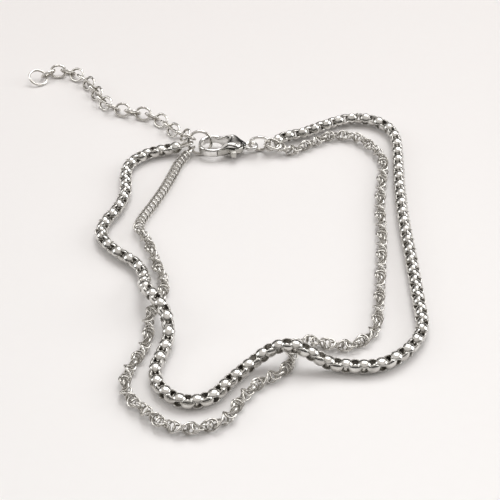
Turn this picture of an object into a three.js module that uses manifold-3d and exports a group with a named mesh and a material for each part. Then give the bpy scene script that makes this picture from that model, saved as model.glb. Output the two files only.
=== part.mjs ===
// A two-strand anklet lying open on a table.
// The thick strand is a box chain, the fine strand a twisted curb chain. Jump rings join both
// to a lobster clasp at one end, and to the ring it bites and an extender chain at the other.
// Millimetres, +Z up, table at z = 0, origin under the middle of the whole anklet.

import * as THREE from "three";
import { mergeVertices } from "three/addons/utils/BufferGeometryUtils.js";
import Module from "manifold-3d";

const wasm = await Module();
wasm.setup();

// Clearances
const PIECE_GAP = 0.3;
const SWING_GAP = 0.2;

// Strands, each as thick as its links are wide
const BOX_DIAMETER = 2.8;
const TWIST_DIAMETER = 2.3;
const STRAND_SIDES = 8;
const STRAND_STEP = 2.9;

// End links and jump rings
const END_LINK_LENGTH = 3.7;
const END_LINK_WIDTH = 2.5;
const END_LINK_WIRE = 0.55;
const JUMP_RING_WIRE = 0.6;
const CLASP_RING_OUTER = 5.3;
const TAIL_RING_OUTER = 4.8;
const JUMP_RING_SIDES = 16;

// Extender chain
const EXTENDER_LINK_LENGTH = 3.8;
const EXTENDER_LINK_WIDTH = 3.2;
const EXTENDER_WIRE = 0.55;
const EXTENDER_ROLL = Math.PI / 4;
const EXTENDER_END_OUTER = 4.4;

// Twice an odd number, so that no corner lies on the straight sides
const LINK_SIDES = 14;
const WIRE_SIDES = 6;

// Lobster clasp
const CLASP_LENGTH = 12.3;
const CLASP_HOOK_OUTER = 6;
const CLASP_HOOK_RIM = 0.7;
const CLASP_HOOK_THICKNESS = 1.7;
const CLASP_BODY_THICKNESS = 3.4;
const CLASP_BODY_WIDTH = 4.4;
const CLASP_NECK_WIDTH = 2.6;
const CLASP_EYE_HOLE = 1.8;
const CLASP_EYE_WALL = 0.6;
const CLASP_EYE_THICKNESS = 0.8;
const CLASP_PIN_DIAMETER = 0.8;
const CLASP_BODY_BEVEL = 0.8;
const CLASP_ARC_STEPS = 12;
const DOME_END_BEFORE_EYE = 0.7;
const OPENING_TIP_X = 6.3;
const OPENING_TIP_Y = 1.1;
const PIVOT_FROM_EYE = 2.7;
const PIVOT_BELOW_MIDDLE = 0.8;
const GATE_TIP_ANGLE = THREE.MathUtils.degToRad(288);
const LEVER_THICKNESS = 1.2;
const LEVER_BOSS = 2.4;
const LEVER_ARM_WIDTH = 0.9;
const LEVER_TAB_LENGTH = 1.7;
const LEVER_TAB_WIDTH = 1.3;
const LEVER_TAB_FROM_PIVOT = 1.6;
const LEVER_ROOM_END = THREE.MathUtils.degToRad(275);
const LEVER_SWING = THREE.MathUtils.degToRad(24);

// Where the clasp's nose lies, and the tilt of the rings that lean on it
const CLASP_NOSE = new THREE.Vector2(-2, 25.1);
const CLASP_RING_PAST_NOSE = 0.3;
const CLASP_RING_LEAN = THREE.MathUtils.degToRad(70);
const TAIL_RING_BEFORE_EYE = 0.33;
const TAIL_RING_LEAN = THREE.MathUtils.degToRad(110);

// Where on its ring each end link hangs, round from the ring's right-hand side
const BOX_START_HANG = THREE.MathUtils.degToRad(-26);
const TWIST_START_HANG = THREE.MathUtils.degToRad(8);
const BOX_END_HANG = THREE.MathUtils.degToRad(186);
const TWIST_END_HANG = THREE.MathUtils.degToRad(218);
const EXTENDER_HANG = THREE.MathUtils.degToRad(148);
const EXTENDER_EASE_LINKS = 3;
const EXTENDER_CLIMB = 1.6;

// Routes of the chains on the table: x, y, and the share of the climb over the other strand
const BOX_ROUTE = [
  [15.2, 28.3, 0.1],
  [17.3, 29.7, 0],
  [19.8, 30.7, 0],
  [22.5, 32.5, 0],
  [25.4, 34.3, 0],
  [29.5, 36.2, 0],
  [33.9, 35.8, 0],
  [37.4, 32.8, 0],
  [38.8, 28.1, 0],
  [38.6, 21.1, 0],
  [38.1, 11.1, 0],
  [37.9, 0.6, 0],
  [38.1, -8.9, 0],
  [38.3, -17.9, 0],
  [38.4, -24.9, 0],
  [38.5, -29.9, 0],
  [38.1, -33.1, 0],
  [36.0, -37.2, 0],
  [32.7, -40.5, 0],
  [29.4, -42.1, 0],
  [25.1, -42.1, 0],
  [21.8, -41.7, 0.1],
  [18.4, -40.8, 0.75],
  [15.4, -39.8, 1],
  [12.4, -39.9, 0.75],
  [8.9, -41.7, 0.1],
  [5.0, -46.2, 0],
  [2.6, -49.5, 0],
  [-0.6, -50.8, 0],
  [-3.5, -50.1, 0],
  [-6.4, -47.0, 0],
  [-7.2, -42.9, 0],
  [-6.2, -38.7, 0],
  [-5.3, -34.7, 0.1],
  [-6.0, -30.5, 0.75],
  [-8.2, -26.7, 1],
  [-10.2, -22.9, 0.75],
  [-10.4, -18.5, 0.1],
  [-12.3, -14.0, 0],
  [-16.5, -10.0, 0],
  [-19.3, -5.5, 0],
  [-18.9, -0.9, 0],
  [-17.1, 3.0, 0],
  [-15.8, 8.8, 0],
  [-16.2, 15.1, 0],
  [-15.6, 19.0, 0],
  [-13.0, 22.1, 0],
  [-10.0, 23.7, 0],
  [-7.4, 24.5, 0],
];

const TWIST_ROUTE = [
  [16.6, 24.3, 0],
  [19.3, 25.7, 0],
  [22.4, 28.1, 0],
  [25.1, 29.8, 0],
  [28.2, 30.1, 0],
  [31.3, 28.7, 0],
  [34.0, 24.9, 0],
  [35.4, 21.0, 0],
  [35.3, 16.9, 0],
  [34.6, 12.5, 0],
  [33.7, 4.2, 0],
  [33.3, -5.9, 0],
  [32.2, -17.0, 0],
  [31.2, -26.3, 0],
  [30.2, -31.9, 0],
  [28.0, -35.1, 0],
  [24.9, -36.6, 0],
  [21.2, -36.1, 0],
  [18.3, -35.3, 0],
  [16.1, -36.6, 0],
  [15.5, -39.9, 0],
  [14.2, -42.9, 0],
  [10.6, -45.5, 0],
  [8.2, -48.1, 0],
  [6.8, -50.5, 0],
  [5.4, -53.5, 0],
  [3.0, -55.6, 0],
  [-0.6, -56.6, 0],
  [-4.7, -55.9, 0],
  [-8.4, -52.5, 0],
  [-11.2, -49.3, 0],
  [-12.1, -45.9, 0],
  [-11.6, -42.5, 0],
  [-9.9, -38.3, 0],
  [-8.9, -33.5, 0],
  [-9.1, -29.1, 0],
  [-7.9, -25.5, 0],
  [-7.0, -22.3, 0],
  [-7.1, -18.5, 0],
  [-8.7, -13.5, 0],
  [-10.5, -7.3, 0],
  [-12.4, -3.1, 0],
  [-12.2, -0.1, 0],
  [-10.3, 5.0, 0],
  [-8.5, 10.0, 0],
  [-7.2, 14.5, 0],
  [-6.3, 17.9, 0],
  [-5.8, 19.7, 0],
];

const EXTENDER_ROUTE = [
  [-5.2, 29.0, 0.45],
  [-7.6, 32.1, 0],
  [-10.3, 36.0, 0],
  [-13.8, 38.4, 0],
  [-18.3, 39.8, 0],
  [-22.3, 42.4, 0],
  [-24.5, 46.6, 0],
  [-26.6, 50.9, 0],
  [-28.8, 54.1, 0],
  [-31.6, 56.2, 0],
  [-34.8, 56.6, 0],
  [-37.2, 54.8, 0],
];

// Sizes that follow from the ones above
const CROSSING_CLIMB = TWIST_DIAMETER + PIECE_GAP;
const EXTENDER_PITCH = EXTENDER_LINK_LENGTH - 2 * EXTENDER_WIRE - PIECE_GAP;
const EXTENDER_REST =
  ((EXTENDER_LINK_WIDTH - EXTENDER_WIRE) / 2) * Math.sin(EXTENDER_ROLL) + EXTENDER_WIRE / 2;
const CLASP_RING_RADIUS = (CLASP_RING_OUTER - JUMP_RING_WIRE) / 2;
const CLASP_RING_REST = CLASP_RING_RADIUS * Math.sin(CLASP_RING_LEAN) + JUMP_RING_WIRE / 2;
const TAIL_RING_RADIUS = (TAIL_RING_OUTER - JUMP_RING_WIRE) / 2;
const TAIL_RING_REST = TAIL_RING_RADIUS * Math.sin(TAIL_RING_LEAN) + JUMP_RING_WIRE / 2;
const CLASP_REST = CLASP_BODY_THICKNESS / 2;

const MERGE_DISTANCE = 1e-4;
const CURVE_DIVISIONS = 3000;
const UP = new THREE.Vector3(0, 0, 1);
const anklet = new THREE.Group();

const brightSilver = () => new THREE.MeshStandardMaterial({
  color: 0xcfcfcb,
  roughness: 0.18,
  metalness: 1,
});
const shadedSilver = () => new THREE.MeshStandardMaterial({
  color: 0xb9b8b2,
  roughness: 0.28,
  metalness: 1,
});

function toSolid(geometry) {
  const bare = geometry.clone();
  bare.deleteAttribute("normal");
  bare.deleteAttribute("uv");
  const merged = mergeVertices(bare, MERGE_DISTANCE);
  return new wasm.Manifold(
    new wasm.Mesh({
      numProp: 3,
      vertProperties: merged.attributes.position.array,
      triVerts: new Uint32Array(merged.index.array),
    }),
  );
}

function toGeometry(solid) {
  const mesh = solid.getMesh();
  const geometry = new THREE.BufferGeometry();
  geometry.setAttribute("position", new THREE.BufferAttribute(mesh.vertProperties, 3));
  geometry.setIndex(new THREE.BufferAttribute(mesh.triVerts, 1));
  geometry.computeVertexNormals();
  return geometry;
}

function fuse(geometries) {
  return wasm.Manifold.union(geometries.map(toSolid));
}

function addPiece(group, name, geometry, material) {
  const mesh = new THREE.Mesh(geometry, material);
  mesh.name = name;
  group.add(mesh);
}

// A round ring in its own XY plane.
function ringGeometry(radius, wire) {
  return new THREE.TorusGeometry(radius, wire / 2, WIRE_SIDES, JUMP_RING_SIDES);
}

// An oval link in its own XY plane: a ring pulled apart along X, so that two straight sides
// join its round ends.
function ovalLink(length, width, wire) {
  const geometry = new THREE.TorusGeometry((width - wire) / 2, wire / 2, WIRE_SIDES, LINK_SIDES);
  const pull = (length - width) / 2;
  const position = geometry.attributes.position;
  for (let i = 0; i < position.count; i += 1) {
    const x = position.getX(i);
    position.setX(i, x + Math.sign(x) * pull);
  }
  return geometry;
}

// Turns and moves a flat link: its length runs from one joint to the next, and it faces the
// given way as nearly as that allows.
function layLink(geometry, from, to, facing) {
  const along = to.clone().sub(from).normalize();
  const side = facing.clone().cross(along).normalize();
  const face = along.clone().cross(side);
  const placed = new THREE.Matrix4().makeBasis(along, side, face);
  placed.setPosition(from.clone().add(to).multiplyScalar(0.5));
  return geometry.clone().applyMatrix4(placed);
}

// The way a link faces that is rolled about its length, starting from facing up.
function rolledFacing(along, roll) {
  const side = UP.clone().cross(along).normalize();
  const face = along.clone().cross(side);
  return face.multiplyScalar(Math.cos(roll)).addScaledVector(side, Math.sin(roll));
}

// How far a link's facing is rolled from facing up, about its length.
function rollOf(facing, along) {
  const side = UP.clone().cross(along).normalize();
  const face = along.clone().cross(side);
  return Math.atan2(facing.dot(side), facing.dot(face));
}

// A ring that leans up from the table about a line along X.
function leaningRing(center, radius, lean) {
  const rise = new THREE.Vector3(0, Math.cos(lean), Math.sin(lean));
  const acrossX = new THREE.Vector3(1, 0, 0);
  return {
    point: (angle) => center.clone()
      .addScaledVector(acrossX, radius * Math.cos(angle))
      .addScaledVector(rise, radius * Math.sin(angle)),
    tangent: (angle) => acrossX.clone()
      .multiplyScalar(-Math.sin(angle))
      .addScaledVector(rise, Math.cos(angle)),
    geometry: ringGeometry(radius, JUMP_RING_WIRE)
      .rotateX(lean)
      .translate(center.x, center.y, center.z),
  };
}

function routePoints(route, rest, climb) {
  return route.map(([x, y, share]) => new THREE.Vector3(x, y, rest + share * climb));
}

function curveThrough(points) {
  const curve = new THREE.CatmullRomCurve3(points, false, "catmullrom", 0.5);
  curve.arcLengthDivisions = CURVE_DIVISIONS;
  return curve;
}

// An end link that hangs on a ring's wire and points at the chain's nearest route point.
function endLinkOn(ring, angle, chainPoint) {
  const wire = ring.point(angle);
  const away = chainPoint.clone().sub(wire).normalize();
  const reach = JUMP_RING_WIRE / 2 + PIECE_GAP;
  const inner = END_LINK_LENGTH - 2 * END_LINK_WIRE;
  const from = wire.clone().addScaledVector(away, -reach);
  const to = wire.clone().addScaledVector(away, inner - reach);
  const flat = ovalLink(END_LINK_LENGTH, END_LINK_WIDTH, END_LINK_WIRE);
  return { geometry: layLink(flat, from, to, ring.tangent(angle)), joint: to };
}

// A link turned half round looks the same, so the smallest equal turn will do.
function smallestTurn(roll) {
  return roll - Math.PI * Math.round(roll / Math.PI);
}

// A fine strand as a rope of its outer diameter, with an end link soldered to each end.
function strand(route, diameter, climb, startLink, endLink) {
  const middle = routePoints(route, diameter / 2, climb);
  const curve = curveThrough([startLink.joint, ...middle, endLink.joint]);
  const rim = new THREE.Path().absarc(0, 0, diameter / 2, 0, 2 * Math.PI);
  const section = new THREE.Shape(rim.getPoints(STRAND_SIDES / 2).slice(1));
  const rope = new THREE.ExtrudeGeometry(section, {
    steps: Math.round(curve.getLength() / STRAND_STEP),
    extrudePath: curve,
    bevelEnabled: false,
  });
  return toGeometry(fuse([startLink.geometry, rope, endLink.geometry]));
}

// Oval links laid at right angles to each other, each leaning half way over.
function addExtender(material) {
  const start = CLASP_RING.point(EXTENDER_HANG);
  const middle = routePoints(EXTENDER_ROUTE, EXTENDER_REST, EXTENDER_CLIMB);
  const away = middle[0].clone().sub(start).normalize();
  const hang = start.clone().addScaledVector(away, -(JUMP_RING_WIRE + PIECE_GAP) / 2);
  const curve = curveThrough([hang, ...middle]);
  const count = Math.round(curve.getLength() / EXTENDER_PITCH);
  const joints = curve.getSpacedPoints(count);
  const flat = ovalLink(EXTENDER_LINK_LENGTH, EXTENDER_LINK_WIDTH, EXTENDER_WIRE);
  const startRoll = rollOf(CLASP_RING.tangent(EXTENDER_HANG), away);
  const startTurn = smallestTurn(startRoll + EXTENDER_ROLL);
  for (let i = 0; i < count; i += 1) {
    const along = joints[i + 1].clone().sub(joints[i]).normalize();
    const nearStart = 1 - THREE.MathUtils.smoothstep(i, 0, EXTENDER_EASE_LINKS);
    const roll = (i % 2 === 0 ? -1 : 1) * EXTENDER_ROLL + nearStart * startTurn;
    const link = layLink(flat, joints[i], joints[i + 1], rolledFacing(along, roll));
    addPiece(anklet, `extender_link_${String(i + 1).padStart(2, "0")}`, link, material);
  }
  const last = joints[count];
  const outward = last.clone().sub(joints[count - 1]).normalize();
  const radius = (EXTENDER_END_OUTER - EXTENDER_WIRE) / 2;
  const bar = (EXTENDER_WIRE + PIECE_GAP) / 2;
  const near = last.clone().addScaledVector(outward, -bar - radius);
  const far = last.clone().addScaledVector(outward, radius * 2 - bar + radius);
  const lean = Math.asin((EXTENDER_REST - EXTENDER_WIRE / 2) / radius);
  const endRoll = count % 2 === 0 ? -lean : lean;
  const facing = rolledFacing(outward, endRoll);
  const ring = layLink(ringGeometry(radius, EXTENDER_WIRE), near, far, facing);
  addPiece(anklet, "extender_end_ring", ring, material);
}

// A disc drawn out to a point, as a flat outline.
function teardrop(centreX, radius, tipX, tipY) {
  const reach = Math.hypot(tipX - centreX, tipY);
  const aim = Math.atan2(tipY, tipX - centreX);
  const turn = Math.acos(radius / reach);
  const outline = new THREE.Shape();
  outline.absarc(centreX, 0, radius, aim + turn, aim - turn + 2 * Math.PI, false);
  outline.lineTo(tipX, tipY);
  outline.closePath();
  return outline;
}

// Two discs on the middle line with straight sides between, as a flat outline.
function pear(bigX, bigRadius, smallX, smallRadius) {
  const turn = Math.acos((bigRadius - smallRadius) / (smallX - bigX));
  const outline = new THREE.Shape();
  outline.absarc(bigX, 0, bigRadius, turn, 2 * Math.PI - turn, false);
  outline.absarc(smallX, 0, smallRadius, -turn, turn, false);
  outline.closePath();
  return outline;
}

function disc(x, y, radius) {
  return new THREE.Shape().absarc(x, y, radius, 0, 2 * Math.PI, false);
}

// A plate of an outline, half above and half below the clasp's middle plane.
function plate(outline, thickness, bevel = 0) {
  const depth = thickness - 2 * bevel;
  return new THREE.ExtrudeGeometry(outline, {
    depth,
    curveSegments: CLASP_ARC_STEPS,
    bevelEnabled: bevel > 0,
    bevelThickness: bevel,
    bevelSize: bevel,
    bevelOffset: -bevel,
    bevelSegments: 2,
  }).translate(0, 0, -depth / 2);
}

const HOOK_RADIUS = CLASP_HOOK_OUTER / 2;
const EYE_RADIUS = CLASP_EYE_HOLE / 2 + CLASP_EYE_WALL;
const EYE_X = CLASP_LENGTH - EYE_RADIUS;
const DOME_X = EYE_X - DOME_END_BEFORE_EYE - CLASP_BODY_WIDTH / 2;
const GATE_RADIUS = HOOK_RADIUS - CLASP_HOOK_RIM / 2;
const GATE_TIP = new THREE.Vector2(
  HOOK_RADIUS + GATE_RADIUS * Math.cos(GATE_TIP_ANGLE),
  GATE_RADIUS * Math.sin(GATE_TIP_ANGLE),
);
const PIVOT = new THREE.Vector2(EYE_X - PIVOT_FROM_EYE, -PIVOT_BELOW_MIDDLE);
const ARM = GATE_TIP.clone().sub(PIVOT);
const ARM_LENGTH = ARM.length();
const ARM_ANGLE = Math.atan2(ARM.y, ARM.x) + 2 * Math.PI;

// The room that the lever sweeps: a sector about the pivot.
function leverSweep(height) {
  const edge = LEVER_ARM_WIDTH / 2 + SWING_GAP;
  const open = ARM_ANGLE - LEVER_SWING;
  const reach = ARM_LENGTH + SWING_GAP;
  const inward = new THREE.Vector2(Math.sin(open), -Math.cos(open)).multiplyScalar(edge);
  const sweep = new THREE.Shape();
  sweep.moveTo(PIVOT.x, PIVOT.y);
  sweep.lineTo(PIVOT.x + inward.x, PIVOT.y + inward.y);
  sweep.lineTo(
    PIVOT.x + inward.x + reach * Math.cos(open),
    PIVOT.y + inward.y + reach * Math.sin(open),
  );
  sweep.absarc(PIVOT.x, PIVOT.y, reach, open, LEVER_ROOM_END, false);
  sweep.closePath();
  return plate(sweep, height);
}

// The hook, the domed body and the eye are one casting, with the lever's pin across its slot.
// The lever's sweep opens the hook right through, and cuts a slot inside the dome.
function claspBody() {
  const through = 2 * CLASP_BODY_THICKNESS;
  const slot = LEVER_THICKNESS + 2 * SWING_GAP;
  const wholeHook = plate(teardrop(HOOK_RADIUS, HOOK_RADIUS, EYE_X, 0), CLASP_HOOK_THICKNESS);
  const openHook = toSolid(wholeHook).subtract(toSolid(leverSweep(through)));
  const dome = plate(
    pear(DOME_X, CLASP_BODY_WIDTH / 2, EYE_X - EYE_RADIUS, CLASP_NECK_WIDTH / 2),
    CLASP_BODY_THICKNESS,
    CLASP_BODY_BEVEL,
  );
  const eye = plate(disc(EYE_X, 0, EYE_RADIUS), CLASP_EYE_THICKNESS);
  const opening = plate(
    teardrop(HOOK_RADIUS, HOOK_RADIUS - CLASP_HOOK_RIM, OPENING_TIP_X, OPENING_TIP_Y),
    through,
  );
  const eyeHole = plate(disc(EYE_X, 0, CLASP_EYE_HOLE / 2), through);
  const pinLength = CLASP_BODY_THICKNESS - CLASP_BODY_BEVEL;
  const pin = plate(disc(PIVOT.x, PIVOT.y, CLASP_PIN_DIAMETER / 2), pinLength);
  const seat = plate(disc(PIVOT.x, PIVOT.y, LEVER_BOSS / 2 + SWING_GAP), slot);
  return toGeometry(
    fuse([dome, eye])
      .add(openHook)
      .subtract(fuse([opening, eyeHole, leverSweep(slot), seat]))
      .add(toSolid(pin)),
  );
}

// The lever: a boss round the pin, an arm that shuts the hook and a tab for the thumb.
function claspLever() {
  const half = LEVER_ARM_WIDTH / 2;
  const arm = new THREE.Shape();
  arm.moveTo(0, -half);
  arm.lineTo(ARM_LENGTH - half, -half);
  arm.absarc(ARM_LENGTH - half, 0, half, -Math.PI / 2, Math.PI / 2, false);
  arm.lineTo(0, half);
  arm.closePath();
  const tabHalf = LEVER_TAB_WIDTH / 2;
  const tab = new THREE.Shape();
  tab.moveTo(LEVER_TAB_FROM_PIVOT + tabHalf, 0);
  tab.lineTo(LEVER_TAB_FROM_PIVOT + tabHalf, LEVER_TAB_LENGTH);
  tab.absarc(LEVER_TAB_FROM_PIVOT, LEVER_TAB_LENGTH, tabHalf, 0, Math.PI, false);
  tab.lineTo(LEVER_TAB_FROM_PIVOT - tabHalf, 0);
  tab.closePath();
  const boss = disc(0, 0, LEVER_BOSS / 2);
  const bore = plate(disc(0, 0, CLASP_PIN_DIAMETER / 2 + SWING_GAP), 2 * LEVER_THICKNESS);
  const outline = [arm, tab, boss].map((shape) => plate(shape, LEVER_THICKNESS));
  return toGeometry(fuse(outline).subtract(toSolid(bore)))
    .rotateZ(ARM_ANGLE)
    .translate(PIVOT.x, PIVOT.y, 0);
}

const CLASP_RING = leaningRing(
  new THREE.Vector3(CLASP_NOSE.x + CLASP_RING_PAST_NOSE, CLASP_NOSE.y, CLASP_RING_REST),
  CLASP_RING_RADIUS,
  CLASP_RING_LEAN,
);
const TAIL_RING = leaningRing(
  new THREE.Vector3(
    CLASP_NOSE.x + EYE_X - TAIL_RING_BEFORE_EYE + TAIL_RING_RADIUS,
    CLASP_NOSE.y,
    TAIL_RING_REST,
  ),
  TAIL_RING_RADIUS,
  TAIL_RING_LEAN,
);

// One whole strand: it hangs by its end links on the tail ring and on the clasp's ring.
function hungStrand(route, diameter, climb, startHang, endHang) {
  const [startX, startY] = route.at(0);
  const [endX, endY] = route.at(-1);
  const rest = diameter / 2;
  const startLink = endLinkOn(TAIL_RING, startHang, new THREE.Vector3(startX, startY, rest));
  const endLink = endLinkOn(CLASP_RING, endHang, new THREE.Vector3(endX, endY, rest));
  return strand(route, diameter, climb, startLink, endLink);
}

const boxChain = hungStrand(BOX_ROUTE, BOX_DIAMETER, CROSSING_CLIMB, BOX_START_HANG, BOX_END_HANG);
const twistChain = hungStrand(TWIST_ROUTE, TWIST_DIAMETER, 0, TWIST_START_HANG, TWIST_END_HANG);
const bright = brightSilver();
const shaded = shadedSilver();
addPiece(anklet, "box_chain", boxChain, bright);
addPiece(anklet, "twist_chain", twistChain, shaded);
addPiece(anklet, "clasp_jump_ring", CLASP_RING.geometry, bright);
addPiece(anklet, "tail_jump_ring", TAIL_RING.geometry, bright);
addExtender(bright);

const clasp = new THREE.Group();
clasp.position.set(CLASP_NOSE.x, CLASP_NOSE.y, CLASP_REST);
addPiece(clasp, "clasp_body", claspBody(), bright);
addPiece(clasp, "clasp_lever", claspLever(), shaded);
anklet.add(clasp);

// The origin goes under the middle of the anklet, on the table.
anklet.updateMatrixWorld(true);
const reach = new THREE.Box3().setFromObject(anklet, true);
const middle = reach.getCenter(new THREE.Vector3());
anklet.position.set(-middle.x, -middle.y, -reach.min.z);

export default anklet;
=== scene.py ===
# %% [markdown]
# # A two-strand chain anklet
# Two silver chains lie on a pale table in one open loop. A thick round box chain and a fine twisted
# curb chain hang side by side on two jump rings, a lobster clasp joins the rings, and a short
# extender of oval links trails away from the clasp.
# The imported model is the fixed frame: it says where every piece lies. Each piece below is worked out
# as whole arrays, in millimetres, and becomes metres when it goes into its mesh.

import bpy
import numpy as np
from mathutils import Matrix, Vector


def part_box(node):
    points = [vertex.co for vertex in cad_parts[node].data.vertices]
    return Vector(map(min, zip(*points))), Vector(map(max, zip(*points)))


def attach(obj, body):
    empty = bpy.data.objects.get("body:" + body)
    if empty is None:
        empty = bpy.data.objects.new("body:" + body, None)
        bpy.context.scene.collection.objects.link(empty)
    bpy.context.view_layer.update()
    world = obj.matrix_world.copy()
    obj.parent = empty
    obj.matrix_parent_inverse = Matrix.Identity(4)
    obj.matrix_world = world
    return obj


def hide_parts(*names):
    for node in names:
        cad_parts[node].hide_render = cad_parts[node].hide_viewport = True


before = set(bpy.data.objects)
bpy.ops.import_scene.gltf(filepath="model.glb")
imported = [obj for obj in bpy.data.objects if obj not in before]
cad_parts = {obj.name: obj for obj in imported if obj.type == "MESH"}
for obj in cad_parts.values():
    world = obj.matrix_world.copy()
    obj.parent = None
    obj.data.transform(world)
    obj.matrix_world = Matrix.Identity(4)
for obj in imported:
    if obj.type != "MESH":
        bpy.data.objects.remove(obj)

MM = 0.001
UP = np.array([0.0, 0.0, 1.0])
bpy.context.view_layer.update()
print("CAD nodes:", len(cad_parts))

# %% [markdown]
# ## The camera
# The picture looks down on the table at 37 degrees, from a hand's height. Near links look larger
# than far ones, and that says how far away the camera was. A lens is set by its focal length in
# pixels, over the picture's width in pixels, times the sensor's width.

# %% The camera
PICTURE_PIXELS = 500
FOCAL_PIXELS = 1400
SENSOR_MM = 36
CAMERA_ELEVATION = np.radians(37)
CAMERA_DISTANCE = 0.2617
AIM = np.array([8.67, -8.03, 0.0]) * MM

back = np.array([0.0, -np.cos(CAMERA_ELEVATION), np.sin(CAMERA_ELEVATION)])
camera = bpy.data.objects.new("camera", bpy.data.cameras.new("camera"))
camera.data.sensor_width = SENSOR_MM
camera.data.lens = SENSOR_MM * FOCAL_PIXELS / PICTURE_PIXELS
camera.data.clip_start = 0.01
camera.location = AIM + back * CAMERA_DISTANCE
camera.rotation_euler = Vector(-back).to_track_quat("-Z", "Y").to_euler()
bpy.context.scene.collection.objects.link(camera)
bpy.context.scene.camera = camera
print("lens, mm:", round(camera.data.lens, 1))

# %% [markdown]
# ## Shader maths as Python
# A finish is a small net of nodes. Wrapping a socket in a class that knows +, - and * lets a line
# such as `0.2 + 0.1 * grain` add its Math nodes by itself, and one method makes every other node.

# %% Shader helpers
class Signal:
    """A socket that carries a number, with which Python's operators add Math nodes."""

    def __init__(self, finish, socket):
        self.finish = finish
        self.socket = socket

    def _math(self, operation, first, second):
        made = self.finish.node("ShaderNodeMath", {"operation": operation}, {0: first, 1: second})
        return Signal(self.finish, made.outputs[0])

    def __add__(self, other):
        return self._math("ADD", self, other)

    def __radd__(self, other):
        return self._math("ADD", other, self)

    def __sub__(self, other):
        return self._math("SUBTRACT", self, other)

    def __rsub__(self, other):
        return self._math("SUBTRACT", other, self)

    def __mul__(self, other):
        return self._math("MULTIPLY", self, other)

    def __rmul__(self, other):
        return self._math("MULTIPLY", other, self)


class Finish:
    """A material under construction: its nodes, and the values and links of their sockets."""

    def __init__(self, name):
        self.material = bpy.data.materials.new(name)
        self.material.use_nodes = True
        self.tree = self.material.node_tree
        self.tree.nodes.clear()

    def node(self, kind, settings=None, inputs=None):
        made = self.tree.nodes.new(kind)
        for key, value in (settings or {}).items():
            if key == "stops":
                self._set_stops(made.color_ramp, value)
            else:
                setattr(made, key, value)
        for key, value in (inputs or {}).items():
            socket = made.inputs[key]
            if isinstance(value, Signal):
                self.tree.links.new(value.socket, socket)
            elif isinstance(value, bpy.types.NodeSocket):
                self.tree.links.new(value, socket)
            else:
                socket.default_value = value
        return made

    def _set_stops(self, ramp, stops):
        while len(ramp.elements) < len(stops):
            ramp.elements.new(1.0)
        for element, (position, level) in zip(ramp.elements, stops):
            element.position = position
            element.color = (level, level, level, 1.0)

    def place(self):
        """Object coordinates, which stay with the piece."""
        return self.node("ShaderNodeTexCoord").outputs["Object"]

    def noise(self, scale, detail, rough=0.5):
        made = self.node(
            "ShaderNodeTexNoise",
            {"noise_dimensions": "3D"},
            {"Vector": self.place(), "Scale": scale, "Detail": detail, "Roughness": rough},
        )
        return Signal(self, made.outputs["Fac"])

    def ramp(self, signal, stops):
        made = self.node("ShaderNodeValToRGB", {"stops": stops}, {"Fac": signal})
        return Signal(self, made.outputs["Color"])

    def attribute(self, name):
        made = self.node("ShaderNodeAttribute", {"attribute_type": "GEOMETRY", "attribute_name": name})
        return Signal(self, made.outputs["Fac"])

    def mix(self, share, first, second):
        made = self.node(
            "ShaderNodeMix", {"data_type": "RGBA"}, {"Factor": share, "A": first, "B": second}
        )
        return next(o for o in made.outputs if o.type == "RGBA")

    def bump(self, height, depth, strength):
        made = self.node(
            "ShaderNodeBump", {}, {"Height": height, "Distance": depth, "Strength": strength}
        )
        return made.outputs["Normal"]

    def shine(self, **sockets):
        """Ends the net in a Principled shader. A key is a socket's name with _ for its spaces."""
        names = {key.replace("_", " "): value for key, value in sockets.items()}
        shader = self.node("ShaderNodeBsdfPrincipled", {}, names)
        self.node("ShaderNodeOutputMaterial", {}, {"Surface": shader.outputs[0]})
        return self.material


# %% [markdown]
# ## Silver
# Polished silver has almost no colour of its own: it shows the room. What makes it look real is how
# unevenly it does so. Wire keeps faint drawing marks, high spots are rubbed smoother, and coarse
# patches of a noise make the tone uneven. The insides of links are painted a darker, browner tone:
# painted shade, where the links hide each other from the light. A mesh carries an attribute, 1 on the
# outside of a link's wire and 0 on its inside, which the finish reads for both the rubbing and the
# painted shade. Where a mesh has none, as on the lever, the finish takes its shaded tone all over.

# %% The silver finishes
WEAR_AND_SHADE_STOPS = [(0.0, 0.0), (0.6, 1.0)]
PATCH_STOPS = [(0.35, 0.55), (0.6, 1.0)]
PATCH_SCALE = 700.0
GRAIN_IN_ROUGHNESS = 0.08
GRAIN_STRENGTH = 0.5


def silver(name, bright, shaded_tone, smooth, rough, grain_scale, grain_depth):
    """Metal between a bright tone and a shaded one, which is painted shade: the share is the attribute
    of wear and painted shade, less the low patches of a coarse noise. Where the share is low the metal
    is also rougher, with a fine noise as drawing marks."""
    finish = Finish(name)
    # painted shade: the insides of the wire take the darker shaded tone, the outsides the bright one
    rubbed = finish.ramp(finish.attribute("rubbed"), WEAR_AND_SHADE_STOPS)
    patches = finish.ramp(finish.noise(PATCH_SCALE, detail=3.0), PATCH_STOPS)
    polish_and_light = rubbed * patches
    grain = finish.noise(grain_scale, detail=4.0, rough=0.6)
    return finish.shine(
        Base_Color=finish.mix(polish_and_light, (*shaded_tone, 1.0), (*bright, 1.0)),
        Metallic=1.0,
        Roughness=rough - (rough - smooth) * polish_and_light + GRAIN_IN_ROUGHNESS * (grain - 0.5),
        Normal=finish.bump(grain, grain_depth * MM, GRAIN_STRENGTH),
    )


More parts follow.
